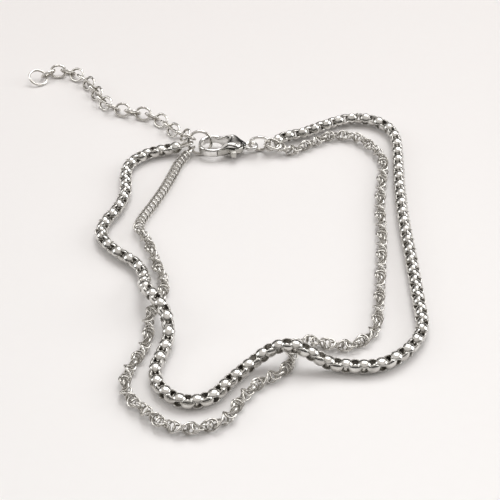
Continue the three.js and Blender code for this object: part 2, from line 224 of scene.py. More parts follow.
box_silver = silver(
    "box_silver", bright=(0.78, 0.77, 0.74), shaded_tone=(0.30, 0.28, 0.25),
    smooth=0.17, rough=0.36, grain_scale=2600.0, grain_depth=0.02,
)
twist_silver = silver(
    "twist_silver", bright=(0.74, 0.725, 0.69), shaded_tone=(0.32, 0.30, 0.265),
    smooth=0.16, rough=0.36, grain_scale=3200.0, grain_depth=0.02,
)
ring_silver = silver(
    "ring_silver", bright=(0.84, 0.825, 0.79), shaded_tone=(0.42, 0.40, 0.36),
    smooth=0.12, rough=0.28, grain_scale=2400.0, grain_depth=0.015,
)
clasp_silver = silver(
    "clasp_silver", bright=(0.88, 0.875, 0.86), shaded_tone=(0.50, 0.49, 0.46),
    smooth=0.08, rough=0.22, grain_scale=1800.0, grain_depth=0.012,
)
print("finishes:", [material.name for material in bpy.data.materials])

# %% [markdown]
# ## Meshes from arrays
# A tube that closes on itself, such as a link, is a grid that wraps both ways. Its faces follow from
# the grid's size alone, so the same few lines make every link, and copies of it only shift the
# numbers of the corners.

# %% Mesh helpers
def wrapped_quads(rows, columns):
    """Quads of a grid closed both ways: corners (i, j), (i + 1, j), (i + 1, j + 1), (i, j + 1)."""
    i, j = np.meshgrid(np.arange(rows), np.arange(columns), indexing="ij")
    after_i = (i + 1) % rows
    after_j = (j + 1) % columns
    quads = [i * columns + j, after_i * columns + j, after_i * columns + after_j, i * columns + after_j]
    return np.stack(quads, axis=-1).reshape(-1, 4)


def repeated_quads(quads, corners, copies):
    """The same quads for each copy of a shape that has that many corners."""
    shift = np.arange(copies)[:, None, None] * corners
    return (quads[None] + shift).reshape(-1, 4)


def new_mesh(name, points, quads, rubbed=1.0):
    """An object from points in millimetres and quads, smooth, with its attribute of wear and painted
    shade.
    """
    mesh = bpy.data.meshes.new(name)
    mesh.from_pydata(np.asarray(points) * MM, [], quads)
    mesh.polygons.foreach_set("use_smooth", np.ones(len(mesh.polygons), bool))
    layer = mesh.attributes.new("rubbed", "FLOAT", "POINT")
    layer.data.foreach_set("value", np.broadcast_to(rubbed, len(points)).astype(np.float32))
    mesh.update()
    made = bpy.data.objects.new(name, mesh)
    bpy.context.scene.collection.objects.link(made)
    return made


def finished(piece, material, node, body):
    """A piece gets its finish, stands for its CAD node and rides on that node's body."""
    piece.data.materials.append(material)
    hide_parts(node)
    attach(piece, body)


def cage_scale(corners):
    """How much wider a wave with so many corners a turn is made, so that the smooth surface through
    its cage has the wanted size: it keeps 4/6 of a corner and takes 1/6 of each neighbour."""
    return 6.0 / (4.0 + 2.0 * np.cos(2.0 * np.pi / corners))


def subdivided(piece):
    """One level of subdivision, the same in view and render."""
    smoother = piece.modifiers.new("smooth", "SUBSURF")
    smoother.levels = 1
    smoother.render_levels = 1
    return piece


# %% [markdown]
# ## Paths
# Both strands follow the same chosen points as the frame's ropes. A Catmull-Rom curve goes through
# each point, with a slope that its two neighbours give. Places along it are looked up by length, so
# that spacing the links is only a matter of numbers along a line.

# %% Curves
def smooth_curve(points, steps=24):
    """Between two points, the cubic whose slope at each is half the way from the point before to
    the point after. Past the ends the line goes straight on."""
    before = 2.0 * points[0] - points[1]
    after = 2.0 * points[-1] - points[-2]
    chain = np.vstack([before, points, after])
    p0, p1, p2, p3 = chain[:-3], chain[1:-2], chain[2:-1], chain[3:]
    t = np.linspace(0.0, 1.0, steps, endpoint=False)[:, None, None]
    spans = (
        (2 * t**3 - 3 * t**2 + 1) * p1
        + (t**3 - 2 * t**2 + t) * (p2 - p0) / 2
        + (3 * t**2 - 2 * t**3) * p2
        + (t**3 - t**2) * (p3 - p1) / 2
    )
    return np.vstack([spans.transpose(1, 0, 2).reshape(-1, 3), points[-1]])


def distances(curve):
    """The length from the start to each point of a curve."""
    steps = np.linalg.norm(np.diff(curve, axis=0), axis=1)
    return np.concatenate([[0.0], np.cumsum(steps)])


def places_at(curve, stations):
    """Points at the given lengths along a curve."""
    length = distances(curve)
    return np.stack([np.interp(stations, length, curve[:, k]) for k in range(3)], axis=-1)


def unit(vectors):
    return vectors / np.linalg.norm(vectors, axis=-1, keepdims=True)


def across(along):
    """The level and the upright direction across each direction."""
    side = unit(np.cross(UP, along))
    return side, np.cross(along, side)


def laid(shapes, centres, along, roll):
    """A shape at each centre: centre + x along + y side + z face, where side and face are the
    directions across the path, turned about it by the roll."""
    side, face = across(along)
    cos, sin = np.cos(roll)[:, None], np.sin(roll)[:, None]
    turned_side = side * cos - face * sin
    turned_face = face * cos + side * sin
    axes = np.stack([along, turned_side, turned_face], axis=1)
    return (centres[:, None] + shapes @ axes).reshape(-1, 3)


def roll_of(facing, along):
    """How far a facing direction is turned from upright, about the way along."""
    side, face = across(along)
    return np.arctan2(facing @ side, facing @ face)


# %% [markdown]
# ## Where the frame's rings lie
# A node's own corners say how it lies. The spread of a flat ring's corners is least across its
# plane, so the weakest axis of that spread is the ring's facing direction, and the strongest is an
# oval's length.

# %% Reading the frame
def corners_of(node):
    """A node's separate corners, in millimetres."""
    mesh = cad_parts[node].data
    flat = np.empty(len(mesh.vertices) * 3, np.float32)
    mesh.vertices.foreach_get("co", flat)
    return np.unique(flat.reshape(-1, 3).round(7), axis=0).astype(float) / MM


def lie_of(node):
    """The middle of a node's corners and its three axes, longest spread first, right-handed."""
    corners = corners_of(node)
    axes = np.linalg.eigh(np.cov(corners.T))[1]
    longest, middle = axes[:, 2], axes[:, 1]
    return corners.mean(axis=0), np.stack([longest, middle, np.cross(longest, middle)])


# where the clasp's nose lies among the chosen points
SOURCE_NOSE = np.array([-2.0, 25.1])
clasp_low, clasp_high = (np.array(corner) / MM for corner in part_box("clasp_body"))
clasp_middle = (clasp_low + clasp_high) / 2
clasp_nose = np.array([clasp_low[0], clasp_middle[1], clasp_middle[2]])
shift = np.array([*(clasp_nose[:2] - SOURCE_NOSE), clasp_low[2]])
print("the frame's shift from the chosen points, mm:", shift.round(3))

# %% [markdown]
# ## Wire rings
# A jump ring is a bent piece of round wire, cut and pressed shut, so a fine slit stays where its
# ends meet. The tube's surface is a circle carried round a path: point = path + outward * r cos v +
# upward * r sin v. For an oval, the round path is pulled apart along its length.

# %% Wire rings and ovals
WIRE_ROWS = 56
WIRE_COLUMNS = 12
SLIT_DEPTH = 0.35
SLIT_WIDTH = 0.035
PULL_SHARPNESS = 6.0


def wire_loop(length, width, wire, slit_at=None):
    """A loop of round wire, length by width outside: a circle of the loop's width, pulled apart along
    x by half the difference, with a wire that narrows as a bell curve at its slit. Returns points
    and how far out each lies, from 0 inside to 1 outside."""
    turn = np.linspace(0.0, 2.0 * np.pi, WIRE_ROWS, endpoint=False)[:, None]
    round_wire = np.linspace(0.0, 2.0 * np.pi, WIRE_COLUMNS, endpoint=False)[None, :]
    bend = (width - wire) / 2
    pull = (length - width) / 2
    radius = np.full_like(turn, wire / 2)
    if slit_at is not None:
        away = np.abs((turn - slit_at + np.pi) % (2.0 * np.pi) - np.pi)
        radius = radius * (1.0 - SLIT_DEPTH * np.exp(-((away / SLIT_WIDTH) ** 2)))
    out = bend + radius * np.cos(round_wire)
    x = out * np.cos(turn) + pull * np.tanh(np.cos(turn) * PULL_SHARPNESS)
    y = out * np.sin(turn)
    z = radius * np.sin(round_wire) + 0.0 * turn
    # 1 on the outside of the wire, 0 inside: the finish paints shade on the inside
    rubbed = 0.5 + 0.5 * np.cos(round_wire) + 0.0 * turn
    return np.stack([x, y, z], axis=-1).reshape(-1, 3), rubbed.ravel()


wire_quads = wrapped_quads(WIRE_ROWS, WIRE_COLUMNS)


def wire_piece(node, length, width, wire, slit_at):
    """A wire loop laid as its CAD node lies."""
    centre, axes = lie_of(node)
    shape, rubbed = wire_loop(length, width, wire, slit_at)
    piece = new_mesh(node + "_wire", centre + shape @ axes, wire_quads, rubbed)
    finished(piece, ring_silver, node, "anklet")


RING_WIRE = 0.6
CLASP_RING_OUTER = 5.3
TAIL_RING_OUTER = 4.8
EXTENDER_LENGTH = 3.8
EXTENDER_WIDTH = 3.2
EXTENDER_WIRE = 0.52
EXTENDER_END_OUTER = 4.4
wire_piece("clasp_jump_ring", CLASP_RING_OUTER, CLASP_RING_OUTER, RING_WIRE, slit_at=2.2)
wire_piece("tail_jump_ring", TAIL_RING_OUTER, TAIL_RING_OUTER, RING_WIRE, slit_at=1.2)
wire_piece("extender_end_ring", EXTENDER_END_OUTER, EXTENDER_END_OUTER, EXTENDER_WIRE, slit_at=0.7)
extender_nodes = sorted(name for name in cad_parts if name.startswith("extender_link"))
for extender_node in extender_nodes:
    wire_piece(extender_node, EXTENDER_LENGTH, EXTENDER_WIDTH, EXTENDER_WIRE, slit_at=np.pi / 2)
print("extender links:", len(extender_nodes))

# %% [markdown]
# ## How the strands hang
# Each strand ends in one soldered oval link, which hangs on a jump ring. The ring leans on the
# table, so a hang angle round the ring gives the point of its wire, and the oval reaches from there
# towards the strand's first chosen point. The strand starts inside the oval's far end.

# %% The routes of the strands
END_LENGTH = 3.7
END_WIDTH = 2.5
END_WIRE = 0.55
HANG_GAP = 0.3
BOX_DIAMETER = 2.8
TWIST_DIAMETER = 2.3
CROSSING_CLIMB = TWIST_DIAMETER + HANG_GAP

# x, y and the share of the climb over the fine strand
BOX_ROUTE = np.array([
    [15.2, 28.3, 0.1], [17.3, 29.7, 0], [19.8, 30.7, 0], [22.5, 32.5, 0], [25.4, 34.3, 0],
    [29.5, 36.2, 0], [33.9, 35.8, 0], [37.4, 32.8, 0], [38.8, 28.1, 0], [38.6, 21.1, 0],
    [38.1, 11.1, 0], [37.9, 0.6, 0], [38.1, -8.9, 0], [38.3, -17.9, 0], [38.4, -24.9, 0],
    [38.5, -29.9, 0], [38.1, -33.1, 0], [36.0, -37.2, 0], [32.7, -40.5, 0], [29.4, -42.1, 0],
    [25.1, -42.1, 0], [21.8, -41.7, 0.1], [18.4, -40.8, 0.75], [15.4, -39.8, 1],
    [12.4, -39.9, 0.75], [8.9, -41.7, 0.1], [5.0, -46.2, 0], [2.6, -49.5, 0], [-0.6, -50.8, 0],
    [-3.5, -50.1, 0], [-6.4, -47.0, 0], [-7.2, -42.9, 0], [-6.2, -38.7, 0], [-5.3, -34.7, 0.1],
    [-6.0, -30.5, 0.75], [-8.2, -26.7, 1], [-10.2, -22.9, 0.75], [-10.4, -18.5, 0.1],
    [-12.3, -14.0, 0], [-16.5, -10.0, 0], [-19.3, -5.5, 0], [-18.9, -0.9, 0], [-17.1, 3.0, 0],
    [-15.8, 8.8, 0], [-16.2, 15.1, 0], [-15.6, 19.0, 0], [-13.0, 22.1, 0], [-10.0, 23.7, 0],
    [-7.4, 24.5, 0],
])
TWIST_ROUTE = np.array([
    [16.6, 24.3, 0], [19.3, 25.7, 0], [22.4, 28.1, 0], [25.1, 29.8, 0], [28.2, 30.1, 0],
    [31.3, 28.7, 0], [34.0, 24.9, 0], [35.4, 21.0, 0], [35.3, 16.9, 0], [34.6, 12.5, 0],
    [33.7, 4.2, 0], [33.3, -5.9, 0], [32.2, -17.0, 0], [31.2, -26.3, 0], [30.2, -31.9, 0],
    [28.0, -35.1, 0], [24.9, -36.6, 0], [21.2, -36.1, 0], [18.3, -35.3, 0], [16.1, -36.6, 0],
    [15.5, -39.9, 0], [14.2, -42.9, 0], [10.6, -45.5, 0], [8.2, -48.1, 0], [6.8, -50.5, 0],
    [5.4, -53.5, 0], [3.0, -55.6, 0], [-0.6, -56.6, 0], [-4.7, -55.9, 0], [-8.4, -52.5, 0],
    [-11.2, -49.3, 0], [-12.1, -45.9, 0], [-11.6, -42.5, 0], [-9.9, -38.3, 0], [-8.9, -33.5, 0],
    [-9.1, -29.1, 0], [-7.9, -25.5, 0], [-7.0, -22.3, 0], [-7.1, -18.5, 0], [-8.7, -13.5, 0],
    [-10.5, -7.3, 0], [-12.4, -3.1, 0], [-12.2, -0.1, 0], [-10.3, 5.0, 0], [-8.5, 10.0, 0],
    [-7.2, 14.5, 0], [-6.3, 17.9, 0], [-5.8, 19.7, 0],
])


# %% [markdown]
# The oval faces the way that the ring's wire runs, as a link that hangs on a ring does. Its far end
# gives the strand's first point, so the whole curve follows from the ring, the hang angle and the
# chosen points, and the links of the strand meet the oval by themselves.

# %% End links and the paths between them
def hung_oval(ring_node, ring_outer, hang, towards):
    """An oval on a leaning ring: the hang angle gives the wire's point and its direction, and the
    oval lies from just behind that point towards the strand, facing the way that the wire runs.
    Returns its points, its far inner end, its facing and its way along."""
    centre, axes = lie_of(ring_node)
    rise = np.cross(axes[2], [1.0, 0.0, 0.0])
    rise = rise * np.sign(rise[2])
    radius = (ring_outer - RING_WIRE) / 2
    wire = centre + radius * (np.cos(hang) * np.array([1.0, 0, 0]) + np.sin(hang) * rise)
    facing = -np.sin(hang) * np.array([1.0, 0, 0]) + np.cos(hang) * rise
    away = unit(towards - wire)
    behind = RING_WIRE / 2 + HANG_GAP
    inner = END_LENGTH - 2 * END_WIRE
    joint = wire + away * (inner - behind)
    middle = wire + away * (inner / 2 - behind)
    side = unit(np.cross(facing, away))
    face = np.cross(away, side)
    shape, rubbed = wire_loop(END_LENGTH, END_WIDTH, END_WIRE)
    points = middle + shape @ np.stack([away, side, face])
    return points, rubbed, joint, roll_of(face, away)


def strand_between(route, diameter, climb, hangs):
    """Both end links of a strand, hung at the given angles, and the smooth curve between them."""
    start_hang, end_hang = np.radians(hangs)
    height = diameter / 2 + route[:, 2:] * climb
    middle = np.hstack([route[:, :2], height]) + shift
    start = hung_oval("tail_jump_ring", TAIL_RING_OUTER, start_hang, middle[0])
    end = hung_oval("clasp_jump_ring", CLASP_RING_OUTER, end_hang, middle[-1])
    return smooth_curve(np.vstack([start[2], middle, end[2]])), start, end


# degrees round the tail ring and round the clasp ring
BOX_HANGS = (-26, 186)
TWIST_HANGS = (8, 218)
box_curve, box_start, box_end = strand_between(BOX_ROUTE, BOX_DIAMETER, CROSSING_CLIMB, BOX_HANGS)
twist_curve, twist_start, twist_end = strand_between(TWIST_ROUTE, TWIST_DIAMETER, 0.0, TWIST_HANGS)
print("thick strand, mm:", distances(box_curve)[-1].round(1))
print("fine strand, mm:", distances(twist_curve)[-1].round(1))

# %% [markdown]
# ## A strand as one mesh
# Each chain is well over a hundred copies of one small link. A link's cage has only six corners
# round its wire, and one level of subdivision rounds it. All copies go into one mesh, because a
# piece for each link would fill the scene with objects that no one needs to pick.

# %% A strand of links
LINK_COLUMNS = 6


def chain_piece(name, node, material, links, rubbed, stations, rolls, curve):
    """A strand as one mesh: a link, or one for each station, laid along the curve."""
    pitch = stations[1] - stations[0]
    before, after = places_at(curve, stations - pitch / 2), places_at(curve, stations + pitch / 2)
    points = laid(links, (before + after) / 2, unit(after - before), rolls)
    count = len(stations)
    link_quads = wrapped_quads(len(rubbed) // LINK_COLUMNS, LINK_COLUMNS)
    quads = repeated_quads(link_quads, len(rubbed), count)
    piece = subdivided(new_mesh(name, points, quads, np.tile(rubbed, count)))
    finished(piece, material, node, "anklet")


# %% [markdown]
# ## The box chain
# A round box chain is made of short closed links, each a loop of half-round wire. Every second link
# is turned a quarter, so pads show on all four sides, and together their domed outsides make the
# chain look round. The loop is a superellipse, here close to an ellipse: one number makes it squarer
# or rounder. Its wire is narrow where it passes through the next link and broad where it shows. The
# outside is domed by taking off more the further a point lies from the link's middle plane. As
# built, each link cuts a little into the next one.

# %% One box link
BOX_LINK_LENGTH = 2.88
BOX_LINK_WIDTH = 2.8
BOX_WIRE = 0.52
BOX_BAR_BREADTH = 0.45
BOX_PAD_BREADTH = 2.25
BOX_SQUARENESS = 1.9
PAD_ROUNDNESS = 1.2
PAD_DOME = 1.1
BOX_PITCH = 1.52
BOX_ROWS = 16


def superellipse(angle, power):
    """cos and sin of an angle, each raised to 2 / power with its sign kept."""
    cos, sin = np.cos(angle), np.sin(angle)
    return np.sign(cos) * np.abs(cos) ** (2 / power), np.sign(sin) * np.abs(sin) ** (2 / power)


def box_link():
    """The cage of one link: a superellipse loop in x and y, and round it a section that is breadth
    wide along z and domed by z squared over twice the dome's radius."""
    turn = np.linspace(0.0, 2.0 * np.pi, BOX_ROWS, endpoint=False)[:, None]
    round_wire = (np.arange(LINK_COLUMNS)[None, :] + 0.5) * 2.0 * np.pi / LINK_COLUMNS
    cos, sin = superellipse(turn, BOX_SQUARENESS)
    half_long = (BOX_LINK_LENGTH - BOX_WIRE) / 2
    half_wide = (BOX_LINK_WIDTH - BOX_WIRE) / 2
    out_x, out_y = cos * half_wide, sin * half_long
    size = np.hypot(out_x, out_y)
    wide_share = np.abs(np.sin(turn)) ** PAD_ROUNDNESS
    breadth = BOX_BAR_BREADTH + (BOX_PAD_BREADTH - BOX_BAR_BREADTH) * wide_share
    swell = cage_scale(LINK_COLUMNS)
    z = breadth / 2 * swell * np.sin(round_wire)
    out = BOX_WIRE / 2 * swell * np.cos(round_wire) - z**2 / (2 * PAD_DOME) * wide_share
    x = half_long * cos + out * out_x / size
    y = half_wide * sin + out * out_y / size
    # 1 on the outside of the wire, 0 inside: the finish paints shade on the inside
    rubbed = 0.5 + 0.5 * np.cos(round_wire) + 0.0 * turn
    return np.stack([x, y, z + 0.0 * turn], axis=-1).reshape(-1, 3), rubbed.ravel()


# %% [markdown]
# How the chain is rolled about its length decides what shows: with no roll one row of pads faces up,
# and at 45 degrees two rows stand side by side. The real chain rolls a little as it lies, so a short
# list gives the roll at lengths along it, and the ends take the roll that crosses their end links.

# %% The box chain
box_length = distances(box_curve)[-1]
box_count = 2 * round(box_length / BOX_PITCH / 2)
box_stations = (np.arange(box_count) + 0.5) * box_length / box_count
# the share of the length, and the roll in degrees
BOX_ROLLS = np.array([
    [0.04, 25], [0.08, 45], [0.12, 68], [0.15, 80], [0.20, 72], [0.26, 60], [0.30, 50],
    [0.34, 42], [0.38, 36], [0.405, 25], [0.44, 5],
    [0.60, 2], [0.69, -8], [0.75, 6], [0.80, 34], [0.85, 45], [0.88, 48], [0.95, 40],
])
QUARTER_TURN = 90
HALF_TURN = 180
start_roll = np.degrees(box_start[3]) + QUARTER_TURN
end_roll = np.degrees(box_end[3]) + QUARTER_TURN


def same_roll_near(roll, near):
    """A roll less whole half turns, which looks the same and lies nearest to another."""
    return roll - HALF_TURN * np.round((roll - near) / HALF_TURN)


box_first = same_roll_near(start_roll, near=BOX_ROLLS[0, 1])
box_last = same_roll_near(end_roll - QUARTER_TURN * ((box_count - 1) % 2), near=BOX_ROLLS[-1, 1])
print("rolls of the first and last box link, degrees:", round(box_first), round(box_last))
roll_shares = np.concatenate([[0.5 / box_count], BOX_ROLLS[:, 0], [1 - 0.5 / box_count]])
roll_turns = np.concatenate([[box_first], BOX_ROLLS[:, 1], [box_last]])
box_rolls = np.interp(box_stations / box_length, roll_shares, roll_turns)
box_rolls = np.radians(box_rolls + QUARTER_TURN * (np.arange(box_count) % 2))
box_link_points, box_link_wear_and_shade = box_link()
chain_piece(
    "box_chain_links", "box_chain", box_silver,
    box_link_points, box_link_wear_and_shade, box_stations, box_rolls, box_curve,
)
print("box links:", box_count)

# %% [markdown]
# ## The twisted chain
# A curb link is a loop that is itself twisted. In a real band that lets it go over its neighbour at
# one side and under it at the other. The path is (a cos t, b sin t, c sin 2t), and each link leans
# up a little along the chain. As built, the links of the twisted stretch sit too close for their
# wire, and each cuts into the next two.

# %% One curb link
CURB_LENGTH = 2.36
CURB_WIDTH = 2.3
CURB_WIRE = 0.36
CURB_PITCH = 0.76
FLAT_PITCH = 1.25
CURB_LIFT = -0.25
CURB_ROWS = 12
TWISTED_LEAN = np.radians(20)
FLAT_LEAN = np.radians(45)


def curb_links(leans):
    """The cage of each link: round wire carried along (a cos t, b sin t, c sin 2t), then leant up
    about y by each link's own lean."""
    turn = np.linspace(0.0, 2.0 * np.pi, CURB_ROWS, endpoint=False)[:, None]
    round_wire = ((np.arange(LINK_COLUMNS) + 0.5) * 2.0 * np.pi / LINK_COLUMNS)[:, None]
    a = (CURB_LENGTH - CURB_WIRE) / 2 * cage_scale(CURB_ROWS)
    b = (CURB_WIDTH - CURB_WIRE) / 2 * cage_scale(CURB_ROWS)
    c = CURB_LIFT * cage_scale(CURB_ROWS / 2)
    path = np.hstack([a * np.cos(turn), b * np.sin(turn), c * np.sin(2 * turn)])
    slope = unit(np.hstack([-a * np.sin(turn), b * np.cos(turn), 2 * c * np.cos(2 * turn)]))
    outward = unit(np.cross(slope, UP))[:, None]
    upward = np.cross(outward, slope[:, None])
    radius = CURB_WIRE / 2 * cage_scale(LINK_COLUMNS)
    wire = path[:, None] + radius * (outward * np.cos(round_wire) + upward * np.sin(round_wire))
    x, y, z = np.moveaxis(wire.reshape(1, -1, 3), -1, 0)
    cos, sin = np.cos(leans)[:, None], np.sin(leans)[:, None]
    points = np.stack([x * cos - z * sin, y + 0.0 * cos, x * sin + z * cos], axis=-1)
    # 1 on the outside of the wire, 0 inside: the finish paints shade on the inside
    rubbed = 0.5 + 0.5 * np.cos(round_wire.T) + 0.0 * turn
    return points, rubbed.ravel()


# %% [markdown]
# The whole band is twisted about its length, half a turn in about four links. That is why the fine
# chain glitters: each link throws the light another way. Its last stretch was never twisted. There
# the links lie further apart and steeper, one behind the other like roof tiles, and show as ribs
# across. The pitch, the lean and the turn from link to link all follow one share, which eases from
# one stretch to the other.

# %% The twisted chain
TWIST_PER_LINK = 44
FLAT_LENGTH = 24
TWIST_EASE = 5
FLAT_ROLL = 12
FINE_STEPS = 2000
twist_length = distances(twist_curve)[-1]


def twist_share(station):
    """0 in the flat stretch, 1 in the twisted one, eased where they meet."""
    return np.clip((twist_length - station - FLAT_LENGTH) / TWIST_EASE, 0, 1)


fine_stations = np.linspace(0.0, twist_length, FINE_STEPS + 1)
pitches = FLAT_PITCH + (CURB_PITCH - FLAT_PITCH) * twist_share(fine_stations)
links_before = np.cumsum(twist_length / FINE_STEPS / pitches)
twist_count = round(links_before[-1])
link_numbers = (np.arange(twist_count) + 0.5) * links_before[-1] / twist_count
twist_stations = np.interp(link_numbers, links_before, fine_stations)
twisting = twist_share(twist_stations)
turned = TWIST_PER_LINK * np.cumsum(twisting)
twist_rolls = np.radians(turned - turned[-1] + FLAT_ROLL)
curbs, curb_wear_and_shade = curb_links(FLAT_LEAN + (TWISTED_LEAN - FLAT_LEAN) * twisting)
chain_piece(
    "twist_chain_links", "twist_chain", twist_silver,
    curbs, curb_wear_and_shade, twist_stations, twist_rolls, twist_curve,
)
print("curb links:", twist_count)

# %% [markdown]
# ## The soldered end links
# The ovals were worked out with the paths. They belong to the strands' solids in the frame, so they
# replace no node of their own, and only ride with the rest.

# %% End links of both strands
def end_pair(name, ends):
    """The two soldered ovals at the ends of a strand, as one piece."""
    points = np.vstack([end[0] for end in ends])
    rubbed = np.concatenate([end[1] for end in ends])
    quads = repeated_quads(wire_quads, len(ends[0][0]), len(ends))
    piece = new_mesh(name, points, quads, rubbed)
    piece.data.materials.append(ring_silver)
    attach(piece, "anklet")


end_pair("box_chain_end_links", (box_start, box_end))
end_pair("twist_chain_end_links", (twist_start, twist_end))

# %% [markdown]
# ## The lobster clasp
# The clasp is a small casting: a hook like a claw, a domed body and an eye, with a slot in which a
# lever turns on a pin. Seen from the hook's middle, the casting is one thick ring: for each direction
# there is an inner edge, an outer edge and a height, and a rounded section fills the space between.
# The ring's section is a superellipse, and the body grows thinner towards the eye.

# %% The clasp's shape
CLASP_LENGTH = 12.3
HOOK_RADIUS = 3.0
EYE_RADIUS = 1.5
EYE_WALL = 0.6
EYE_THICKNESS = 0.8
EYE_X = CLASP_LENGTH - EYE_RADIUS
HOOK_RIM = 0.7
HOOK_HEIGHT = 1.7
BODY_HEIGHT = 3.3
BODY_X = 7.4
BODY_RADIUS = 2.1
NECK_X = 9.0
NECK_RADIUS = 1.15
HOLE_TIP = np.array([3.3, 1.1])
TAPER_FROM = 7.0
TAPER_TO = 10.2
NECK_SHARE = 0.36
BODY_BLEND = 0.5
HIGH_WITHIN = np.radians(62)
HIGH_EASE = np.radians(42)
CLASP_ROWS = 144
CLASP_COLUMNS = 36
CLASP_SQUARENESS = 2.7


def drawn_out(angle, radius, tip):
    """The edge of a disc drawn out to a tip, by direction: the disc's radius, over the cosine of how
    far the direction is inside the two straight sides."""
    reach = np.hypot(*tip)
    inside = np.arccos(radius / reach) - np.abs(angle - np.arctan2(tip[1], tip[0]))
    return radius / np.cos(np.maximum(inside, 0.0))


def disc_edge(angle, offset, radius):
    """The far edge of a disc that lies off along x, by direction, or 0 where it is missed."""
    half = radius**2 - (offset * np.sin(angle)) ** 2
    return np.where(half > 0, offset * np.cos(angle) + np.sqrt(np.maximum(half, 0)), 0.0)


def smooth_max(first, second, blend):
    """The larger of two values, rounded over where they meet."""
    return (first + second + np.sqrt((first - second) ** 2 + blend**2)) / 2


def eased(value):
    value = np.clip(value, 0, 1)
    return value * value * (3 - 2 * value)


def casting():
    """The hook and body: round the hook's middle, a superellipse section between the two edges."""
    turn = np.linspace(-np.pi, np.pi, CLASP_ROWS, endpoint=False)[:, None]
    round_section = np.linspace(0.0, 2.0 * np.pi, CLASP_COLUMNS, endpoint=False)[None, :]
    inner = drawn_out(turn, HOOK_RADIUS - HOOK_RIM, HOLE_TIP)
    claw = drawn_out(turn, HOOK_RADIUS, np.array([EYE_X - HOOK_RADIUS, 0.0]))
    dome = disc_edge(turn, BODY_X - HOOK_RADIUS, BODY_RADIUS)
    neck = disc_edge(turn, NECK_X - HOOK_RADIUS, NECK_RADIUS)
    body = smooth_max(smooth_max(claw, dome, BODY_BLEND), neck, BODY_BLEND)
    outer = np.minimum(body, EYE_X - EYE_RADIUS + EYE_WALL - HOOK_RADIUS)
    to_body = eased((HIGH_WITHIN - np.abs(turn)) / HIGH_EASE)
    height = HOOK_HEIGHT + (BODY_HEIGHT - HOOK_HEIGHT) * to_body
    cos, sin = superellipse(round_section, CLASP_SQUARENESS)
    radius = (inner + outer) / 2 + (outer - inner) / 2 * cos
    x = HOOK_RADIUS + radius * np.cos(turn)
    y = radius * np.sin(turn)
    taper = 1.0 - (1.0 - NECK_SHARE) * eased((x - TAPER_FROM) / (TAPER_TO - TAPER_FROM))
    return np.stack([x, y, height / 2 * sin * taper], axis=-1).reshape(-1, 3)


# %% [markdown]
# ## Cutting and joining
# The lever turns in a slot, and the slot is the sector that its arm sweeps. Cutting with a plain
# solid of that sector leaves just the room that the motion needs. Eye and pin are joined on the
# same way, so that the casting is one skin with no faces hidden inside.

# %% Tools for cutting and joining
def solid_of(outline, height):
    """A flat outline raised by half the height each way, as points and faces."""
    count = len(outline)
    low = np.column_stack([outline, np.full(count, -height / 2)])
    high = np.column_stack([outline, np.full(count, height / 2)])
    here = np.arange(count)
    after = (here + 1) % count
    walls = np.stack([here, after, after + count, here + count], axis=-1).tolist()
    return np.vstack([low, high]), [here[::-1].tolist(), (here + count).tolist()] + walls


def arc(centre, radius, start, end, count):
    """Points of a round arc, in degrees from +x."""
    angle = np.radians(np.linspace(start, end, count))
    return np.asarray(centre) + radius * np.column_stack([np.cos(angle), np.sin(angle)])


def carved(base, tools, operation):
    """The base joined with or cut by each tool, which is then removed."""
    for tool in tools:
        cut = base.modifiers.new(operation, "BOOLEAN")
        cut.operation = operation
        cut.solver = "EXACT"
        cut.object = tool
        graph = bpy.context.evaluated_depsgraph_get()
        mesh = bpy.data.meshes.new_from_object(base.evaluated_get(graph))
        base.modifiers.clear()
        base.data = mesh
        bpy.data.objects.remove(tool)


PIVOT_BEFORE_EYE = 2.7
PIVOT_BELOW_EYE = 0.8
PIVOT = np.array([EYE_X - PIVOT_BEFORE_EYE, -PIVOT_BELOW_EYE])
PIN_RADIUS = 0.4
PIN_LENGTH = 2.6
SEAT_RADIUS = 1.4
GATE_REACH = 2.65
GATE_ANGLE = np.radians(288)
GATE_TIP = np.array([HOOK_RADIUS, 0.0]) + GATE_REACH * np.array([np.cos(GATE_ANGLE), np.sin(GATE_ANGLE)])
ARM = GATE_TIP - PIVOT
ARM_LENGTH = np.hypot(*ARM)
ARM_ANGLE = np.degrees(np.arctan2(ARM[1], ARM[0])) + 360
LEVER_SWING = 24
LEVER_HEIGHT = 1.2
ARM_WIDTH = 0.9
SWING_GAP = 0.2
SLOT_END = 275


def lever_slot():
    """The sector that the lever sweeps, with its side gap, as an outline."""
    opened = ARM_ANGLE - LEVER_SWING
    cos, sin = np.cos(np.radians(opened)), np.sin(np.radians(opened))
    inward = (ARM_WIDTH / 2 + SWING_GAP) * np.array([sin, -cos])
    tip = (ARM_LENGTH + SWING_GAP) * np.array([cos, sin])
    sweep = arc(PIVOT, ARM_LENGTH + SWING_GAP, opened, SLOT_END, 24)
    return np.vstack([PIVOT, PIVOT + inward, PIVOT + inward + tip, sweep])


def disc(centre, radius):
    """A round outline of 24 corners."""
    return arc(centre, radius, 0, 345, 24)


def in_clasp(points):
    """Clasp points, in millimetres from its nose, to the frame."""
    return np.asarray(points) + clasp_nose


def rough_solid(name, outline, height):
    points, faces = solid_of(outline, height)
    mesh = bpy.data.meshes.new(name)
    mesh.from_pydata(in_clasp(points) * MM, [], faces)
    made = bpy.data.objects.new(name, mesh)
    bpy.context.scene.collection.objects.link(made)
    return made


